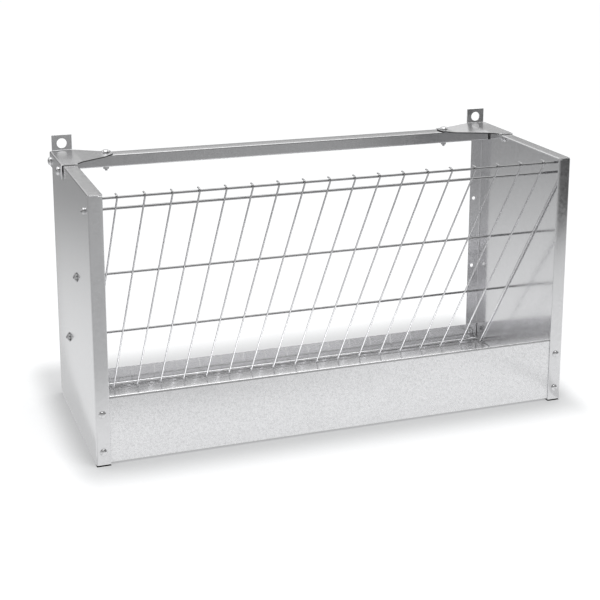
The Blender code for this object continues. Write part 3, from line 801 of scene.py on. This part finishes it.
support, upper, lower = (on_grid(SUPPORT_HEIGHT - ROD_STEP * k) for k in range(3))
rods = {"top": (GRID_TOP, INSIDE_END, CROSS_ROD), "support": (support, ROD_END, SUPPORT_ROD),
        "upper_cross": (upper, ROD_END, CROSS_ROD), "lower_cross": (lower, ROD_END, CROSS_ROD),
        "bottom": (GRID_FOOT, INSIDE_END, BOTTOM_ROD)}
for name, size in rods.items():
    add_piece(f"round_{name}_rod", rod(*size), rod_zinc, [f"grid_{name}_rod"])

# %% [markdown]
# ## The wires
# A wire's path is a straight run from the trough up the slope, an arc over the top rod and a
# level stub. No two are cut quite alike, so the stubs' lengths differ by about a millimetre.

# %% Wires
WIRES = 20
WIRE_OFFSET = SUPPORT_ROD / 2 + WIRE / 2 + GAP
WIRE_STUB, STUB_SPREAD = 0.0090, 0.0006  # the longest stub, and half the spread
WIRE_END = LENGTH / 2 - SHEET - 0.0012 - WIRE / 2
WIRE_FOOT = 0.0063
slope = (GRID_FOOT - GRID_TOP) / np.linalg.norm(GRID_FOOT - GRID_TOP)
grid_out = np.array([0, slope[2], -slope[1]])
wire_x = WIRE_END * np.linspace(-1, 1, WIRES)
uneven = np.random.default_rng(7).uniform(-1, 1, (WIRES, 2))[:, 0]
stubs = WIRE_STUB - STUB_SPREAD + STUB_SPREAD * uneven


def wire_path(x, stub):
    """A straight run, an arc of WIRE_OFFSET round the top rod and a level stub."""
    start = np.arctan2(grid_out[2], grid_out[1]) % (2 * np.pi)
    turn = np.linspace(start, np.pi / 2, 13)
    bend = GRID_TOP + WIRE_OFFSET * np.stack([0 * turn, np.cos(turn), np.sin(turn)], -1)
    low = WIRE_FOOT - grid_out[2] * WIRE / 2
    foot = bend[0] + slope * (bend[0, 2] - low) / -slope[2]
    end = GRID_TOP + [0, stub, WIRE_OFFSET]
    return np.concatenate([[foot], bend, [end]]) + [x, 0, 0]


for number, (x, stub) in enumerate(zip(wire_x, stubs), 1):
    wire = tube(*with_ends(wire_path(x, stub), WIRE / 2, WIRE_BEVEL), (1, 0, 0), 14)
    add_piece(f"round_wire_{number:02d}", wire, wire_zinc, [f"grid_wire_{number:02d}"])

# %% [markdown]
# ## Welds
# Where a wire crosses a rod, the two are pressed together and melted by a current. What stays is
# a small bead between them, rougher and paler than the wire. One bead is a squashed ball, and all
# hundred are one mesh.

# %% Weld beads
BALL_STEPS, BALL_RINGS = 10, 6
BEAD = (0.0021, 0.0019, 0.0011)  # half its size along the rod, along the wire and between them
BEAD_RISE = 0.0001


def turned(radius, height, steps):
    """A surface turned about Z. radius and height are a row of numbers, or one row for each angle."""
    angle = np.linspace(0, 2 * np.pi, steps, endpoint=False)[:, None]
    radius, height, angle = np.broadcast_arrays(radius, height, angle)
    points = np.stack([radius * np.cos(angle), radius * np.sin(angle), height], -1)
    return points.reshape(-1, 3), grid_quads(steps, points.shape[1], wrap=True)


fall = np.linspace(0, np.pi, BALL_RINGS)
ball, quads = turned(np.sin(fall), np.cos(fall), BALL_STEPS)
bead_axes = np.stack([[1, 0, 0], slope, grid_out])
centres = np.concatenate([middle + grid_out * (diameter / 2 + BEAD_RISE) + wire_x[:, None] * [1, 0, 0]
                          for middle, _, diameter in rods.values()])
size = np.random.default_rng(3).uniform(0.85, 1.15, (len(centres), 3)) * BEAD
beads = centres[:, None] + (ball[None] * size[:, None]) @ bead_axes
add_piece("grid_welds", joined([(bead, quads) for bead in beads]), weld_zinc)

# %% [markdown]
# ## Bolts and nuts
# All bolts are M6 with a dome head, which is half an ellipse turned about the axis. Low pan heads
# hold the trough, and taller cup heads hold the brackets and the rail. The thread is part of the
# same turned surface: its radius rises and falls along a helix, whose phase is the height over
# the pitch less the angle over a full turn. A nut is a hexagon that stands on a round flange.

# %% Bolts
BOLT = 0.0060
HEADS = {"pan": (0.0142, 0.0042), "cup": (0.0182, 0.0062)}  # diameter and height
HEAD_RIM = 0.0006
BOLT_TAIL = 0.0042
NUT_FLATS, NUT_HEIGHT = 0.0110, 0.0065
NUT_FLANGE, FLANGE_EDGE, FLANGE_TOP = 0.0154, 0.0005, 0.0019
CHAMFER = 0.58  # fall of the nut's top towards its corners
PITCH, THREAD, LEAD = 0.0010, 0.0005, 0.0008
THREAD_FROM = 0.3  # share of the grip above the thread
LEAD_FALL = 0.0003
NUT_BEVEL = 0.0005


def axes_for(direction):
    """Two directions square to a direction and to each other, and the direction itself, as rows."""
    direction = np.array(direction, float)
    first = np.cross(direction, [0, 0, 1] if abs(direction[2]) < 0.9 else [0, 1, 0])
    first /= np.linalg.norm(first)
    return np.stack([first, np.cross(direction, first), direction])


def bolt(grip, head):
    """A dome head above z = 0, a shank through the grip and nut, and a threaded tail."""
    diameter, high = HEADS[head]
    turn = np.linspace(0, np.pi / 2, 11)
    dome_radius = diameter / 2 * np.sin(turn)
    dome_height = HEAD_RIM + (high - HEAD_RIM) * np.cos(turn)
    end = grip + NUT_HEIGHT + BOLT_TAIL
    z = np.linspace(-grip * THREAD_FROM, -end, int(end / PITCH * 8))
    steps = 24
    angle = np.linspace(0, 1, steps, endpoint=False)[:, None]
    phase = (z[None] / PITCH - angle) % 1
    ridge = THREAD * (1 - np.abs(2 * phase - 1))
    lead = np.clip((z + end) / LEAD, 0, 1)
    shank = (BOLT / 2 - THREAD) + ridge * lead - LEAD_FALL * (1 - lead)
    plain = np.tile([*dome_radius, diameter / 2, BOLT / 2], (steps, 1))
    radius = np.concatenate([plain, shank, 0 * angle], axis=1)
    height = np.concatenate([dome_height, [0, 0], z, [-end]])
    return turned(radius, height, steps)


def nut():
    """A hexagon nut about Z on a round flange. Its top falls towards the corners as a cone."""
    steps = 48
    angle = np.linspace(0, 2 * np.pi, steps, endpoint=False)
    hexagon = NUT_FLATS / 2 / np.cos((angle % (np.pi / 3)) - np.pi / 6)
    flat = NUT_FLATS / 2 * 0.96
    drop = (hexagon - flat) * CHAMFER
    bore, rim = BOLT / 2 + 0.0001, NUT_FLANGE / 2
    line = [(bore, 0.0004), (bore + NUT_BEVEL, 0), (rim - 0.0002, 0), (rim, FLANGE_EDGE),
            (hexagon, FLANGE_TOP - drop), (hexagon, NUT_HEIGHT - drop), (flat, NUT_HEIGHT),
            (bore + NUT_BEVEL, NUT_HEIGHT), (bore, NUT_HEIGHT - 0.0004), (bore, 0.0004)]
    radius, height = (np.stack([np.broadcast_to(pair[k], steps) for pair in line], 1) for k in (0, 1))
    return turned(radius, height, steps)


def placed(shape, seat, direction):
    """A shape turned from Z to a direction and moved to its seat."""
    return shape[0] @ axes_for(direction) + np.array(seat), *shape[1:]


print("a nut has", len(nut()[0]), "points")

# %% [markdown]
# Each bolt is named for what it holds, as in the CAD. Its nut sits on the far side of the sheets.

# %% Fasteners
FRONT_BOLT_X = LENGTH / 2 - FLANGE / 2
FRONT_BOLT_HEIGHTS = {"lower": 0.0288, "upper": 0.1053}
REAR_HOLE_X = LENGTH / 2 - REAR_FLANGE + HOLE_FROM_EDGE
REAR_BOLT_HEIGHT = 0.0268
SIDE_BOLT_SETBACKS = {"rear": 0.016, "front": 0.112}  # from the wall
SIDE_BOLT_HEIGHT = HEIGHT - 0.016
RAIL_BOLT_X = ARM_TIP + 0.013
RAIL_MIDDLE = (RAIL_FRONT + RAIL_REAR) / 2
PANEL_INNER = LENGTH / 2 - SHEET
NUT_RIM = 0.0001


def fasten(name, seat, outward, stack, head="cup"):
    """A bolt and its nut through a stack of sheets whose outside is at seat."""
    seat, outward = np.array(seat, float), np.array(outward, float)
    add_piece(f"{name}_dome_bolt", placed(bolt(stack + 2 * GAP, head), seat + outward * GAP, outward),
              bolt_zinc, [f"{name}_bolt"])
    add_piece(f"{name}_hex_nut", placed(nut(), seat - outward * (stack + GAP), -outward), nut_zinc,
              [f"{name}_nut"], NUT_RIM)


for label, side in SIDES.items():
    for level, z in FRONT_BOLT_HEIGHTS.items():
        fasten(f"{label}_{level}_trough_front", (side * FRONT_BOLT_X, FRONT, z), (0, -1, 0),
               TROUGH_FRONT + SHEET - FRONT, "pan")
    fasten(f"{label}_trough_rear", (side * REAR_HOLE_X, WALL, REAR_BOLT_HEIGHT), (0, 1, 0),
           WALL - TROUGH_REAR + SHEET, "pan")
    for spot, setback in SIDE_BOLT_SETBACKS.items():
        fasten(f"{label}_{spot}_bracket", (side * BRACKET_OUTER, WALL - setback, SIDE_BOLT_HEIGHT),
               (side, 0, 0), BRACKET_OUTER - PANEL_INNER)
    fasten(f"{label}_rail", (side * RAIL_BOLT_X, RAIL_MIDDLE, ARM_TOP), (0, 0, 1), ARM_TOP - RAIL_BOTTOM)

# %% [markdown]
# ## Push nuts
# A push nut is a spring-steel star with a raised middle, pressed onto a rod's end so that it
# can't slip back. Its face is a grid of angle and distance: the outside runs between the points
# and the waists of the star, and the middle rises as a fluted dome. The support rod ends in a
# plain turned cap.

# %% Push nuts and caps
STAR, STAR_WAIST, STAR_POINTS, STAR_SHEET = 0.0205, 0.64, 8, 0.0007
STAR_RISE, FLUTE = 0.0050, 0.35
CAP, CAP_HEIGHT, SHOULDER = 0.0130, 0.0046, 0.0018


def push_nut():
    """Radius runs from the bore to an outline that goes up and down STAR_POINTS times.

    The height is a parabola of that share, and its flutes follow the points.
    """
    steps = STAR_POINTS * 8
    angle = np.linspace(0, 2 * np.pi, steps, endpoint=False)[:, None]
    wave = np.abs(np.cos(angle * STAR_POINTS / 2))
    edge = STAR / 2 * (STAR_WAIST + (1 - STAR_WAIST) * wave)
    share = np.linspace(0, 1, 9)[None]
    bore = CROSS_ROD / 2 + 0.0001
    height = STAR_SHEET + STAR_RISE * (1 - share**2) * (1 - FLUTE * share * wave)
    points, quads = turned(bore + (edge - bore) * share, height, steps)
    return thickened(points, np.tile([0.0, 0.0, -1.0], (len(points), 1)), quads, STAR_SHEET)


def support_cap():
    """A turned ring: a flat base, a straight side and a shoulder that is a quarter circle."""
    bore = SUPPORT_ROD / 2 + 0.0001
    turn = np.linspace(0, np.pi / 2, 6)
    radius = np.concatenate([[bore, CAP / 2], CAP / 2 - SHOULDER * (1 - np.cos(turn)), [bore, bore]])
    height = np.concatenate([[0, 0], CAP_HEIGHT - SHOULDER * (1 - np.sin(turn)), [CAP_HEIGHT, 0]])
    return turned(radius, height, 28)


for label, side in SIDES.items():
    outside = np.array([side * (LENGTH / 2 + GAP), 0, 0])
    for level, middle in (("upper", upper), ("lower", lower)):
        add_piece(f"{label}_{level}_star_nut", placed(push_nut(), middle + outside, (side, 0, 0)),
                  push_nut_steel, [f"{label}_{level}_rod_push_nut"])
    add_piece(f"{label}_support_cap", placed(support_cap(), support + outside, (side, 0, 0)), nut_zinc)

# %% [markdown]
# ## Floor, studio and camera
# The rack stands in a white studio. Metal shows what surrounds it, so the floor and the world matter as
# much as the lamp. To the camera both are plain white, and the floor keeps the rack's soft shadow, which
# is partly rendered and partly painted around the rack's footprint. In the metal the same floor is
# bright beside the rack and falls off with distance, as a lit floor in a dark hall does, with painted
# shade in a narrow strip beside the rack. Two darker areas in front stand for the unlit part of the
# hall, which the uprights mirror.

# %% Floor
FLOOR_REACH = 12.0
CONTACT = 0.13  # how far the shade of what stands on the floor reaches
NEAR_FALL, BEYOND_FALL = (0.1, 2.4), (0.0, 2.1)  # distances between which the floor gets darker
SHADOW_BACK, SHADOW_SOFT = 0.096, 0.14  # how far the deepest painted shadow reaches back, and its soft edge
SHADOW_NARROW = 1.9  # how much shorter the soft edge is at the sides
floor_mesh = bpy.data.meshes.new("studio_floor")
corners = [(FLOOR_REACH * x, FLOOR_REACH * y, 0) for x, y in ((-1, -1), (1, -1), (1, 1), (-1, 1))]
floor_mesh.from_pydata(corners, [], [(0, 1, 2, 3)])
floor = in_scene("studio_floor", floor_mesh)
floor_paint = bpy.data.materials.new("floor_paint")
floor_paint.use_nodes = True
floor_mesh.materials.append(floor_paint)
paint = Finish(floor_paint.node_tree)
paint.tree.nodes.remove(paint.tree.nodes["Principled BSDF"])
seen = paint.signal(paint.add("ShaderNodeLightPath"), "Is Camera Ray")
place = paint.signal(paint.add("ShaderNodeTexCoord"), "Object")
ahead, across = 0 - place.axis("Y"), place.axis("X")


def outside_box(middle, half, stretch=1.0):
    """How far a floor point lies outside a box, as a vector. stretch lengthens its X part."""
    away = paint.vector("ABSOLUTE", paint.vector("SUBTRACT", place, middle))
    away = paint.vector("MULTIPLY_ADD", away, (stretch, 1, 1), (-stretch * half[0], -half[1], 0))
    return paint.vector("MAXIMUM", away, (0, 0, 0))


# What the metal mirrors: brightness by distance from the rack, before it and behind it, and painted
# shade in a strip beside it.
aside = outside_box((0, 0, 0), (LENGTH / 2, DEPTH / 2))
distance = paint.vector("LENGTH", aside, output="Value")
near = 0.90 - 0.42 * distance.smooth_step(*NEAR_FALL)
beyond = 0.85 - 0.50 * distance.smooth_step(*BEYOND_FALL)
patch = 0.36 * ahead.smooth_step(0.33, 0.75) - 0.18 * ahead.smooth_step(1.2, 1.8)
left = 1 - across.smooth_step(0.5, -0.2) * patch
right = 1 - 0.87 * (ahead.smooth_step(1.08, 1.65) * (across - 0.5 * ahead).smooth_step(0.05, 0.5))
level = beyond.towards(near * left * right, ahead.smooth_step(-0.3, 0.2))
# A strip beside the rack's sides is painted darker in what the metal mirrors.
close = aside.axis("X")
painted_shade_beside = close.smooth_step(0.0, 0.002) * close.smooth_step(0.042, 0.032)
open_sky = paint.add("ShaderNodeAmbientOcclusion", {"samples": 16}, {"Distance": CONTACT})
open_sky = paint.signal(open_sky, "AO").smooth_step(0.3, 0.98)
mirrored = level * (0.93 + 0.07 * open_sky) * (1 - 0.24 * painted_shade_beside)

# What the camera sees: white with a soft shadow, which is partly painted by distance from the rack, and
# painted black shade in the slot below each front flange.
half = (LENGTH / 2, (DEPTH + SHADOW_BACK) / 2)
shadow = outside_box((0, SHADOW_BACK / 2, 0), half, SHADOW_NARROW)
reach = paint.vector("LENGTH", shadow, output="Value")
flange_slot_shade = abs(across).above(LENGTH / 2 - FLANGE, 0.0005) * abs(across).below(LENGTH / 2 - 0.0005, 0.0003)
flange_slot_shade = flange_slot_shade * ahead.above(DEPTH / 2 - 0.012, 0.003) * ahead.below(DEPTH / 2 - 0.0001, 0.0002)
lit = seen * (1 - flange_slot_shade)
# The last term paints the soft edge of the shadow by distance from the rack.
white = 0.23 + 0.15 * open_sky + 0.32 * reach.smooth_step(0.0, SHADOW_SOFT)
tone = paint.vector("MULTIPLY", (0.36, 0.362, 0.365), lit)
matt = paint.add("ShaderNodeBsdfDiffuse", inputs={"Color": tone})
strength = lit * white + (1 - seen) * mirrored
glow = paint.add("ShaderNodeEmission", inputs={"Color": (0.99, 0.995, 1, 1), "Strength": strength})
both = paint.add("ShaderNodeAddShader", inputs={0: paint.signal(matt), 1: paint.signal(glow)})
paint.tree.links.new(both.outputs[0], paint.tree.nodes["Material Output"].inputs["Surface"])
print("floor nodes:", len(paint.tree.nodes))

# %% [markdown]
# The world is plain to the camera and to the light that falls on the rack. What the metal mirrors
# is a hall in bands. Behind the rack it is dim near the floor and bright higher up. In front, a
# pale wall ends at a dark ceiling. A bright ceiling lamp fills the zenith.

# %% World
world = bpy.data.worlds.new("studio")
bpy.context.scene.world = world
world.use_nodes = True
sky = Finish(world.node_tree)
background = sky.tree.nodes["Background"]
rays = sky.add("ShaderNodeLightPath")
plain, seen = sky.signal(rays, "Is Diffuse Ray"), sky.signal(rays, "Is Camera Ray")
way = sky.signal(sky.add("ShaderNodeTexCoord"), "Generated")
across, behind, up = (way.axis(name) for name in "XYZ")
rear = 0.14 + 0.30 * up.smooth_step(0.08, 0.17) + 0.76 * up.smooth_step(0.23, 0.37)
rear = rear.towards(0.25, up.smooth_step(0.5, 0.8))
low = 0.46 - 0.36 * across.smooth_step(0.30, 0.45)
hall = low.towards(0.52, up.smooth_step(0.20, 0.31)) * (1 - 0.95 * up.smooth_step(0.40, 0.52))
studio = rear.towards(hall, (0 - behind).smooth_step(-0.10, 0.25))
studio = studio.towards(2.1, up.smooth_step(0.80, 0.90))
shown = plain * 0.85 + (1 - plain) * (seen + (1 - seen) * studio)
sky.tree.links.new(shown.socket, background.inputs["Strength"])
background.inputs["Color"].default_value = (1, 1, 1, 1)
print("world nodes:", len(sky.tree.nodes))

# %% [markdown]
# One broad lamp hangs in front of the rack and above it. It softens the shadow on the floor and
# lets it fall behind the rack. The metal doesn't mirror it, so that the rods stay dark.

# %% Lamp
lamp_data = bpy.data.lights.new("front_lamp", "AREA")
lamp_data.shape = "RECTANGLE"
lamp_data.size, lamp_data.size_y = 2.2, 0.9
lamp_data.energy = 26
lamp = in_scene("front_lamp", lamp_data)
lamp.location = (0.0, -1.5, 2.3)
lamp.rotation_euler = (radians(33), 0, 0)
lamp.visible_glossy = False
print("lamp:", lamp_data.energy, "W at", tuple(lamp.location))

# %% [markdown]
# The camera stands left of the middle and a little above the rack. It looks nearly level and is
# shifted down, as an architect's camera is, so that the rack's uprights stay nearly upright.

# %% Camera
camera_data = bpy.data.cameras.new("camera")
camera = in_scene("camera", camera_data)
camera.location = (-0.9223, -2.5819, 1.1262)
camera.rotation_euler = (radians(76.722), radians(-0.345), radians(-20.451))
camera_data.lens = 81.19
camera_data.shift_x, camera_data.shift_y = -0.05, -0.20
camera_data.clip_end = 60
bpy.context.scene.camera = camera
bpy.context.scene.view_settings.view_transform = "Standard"
print("camera at", tuple(camera.location))
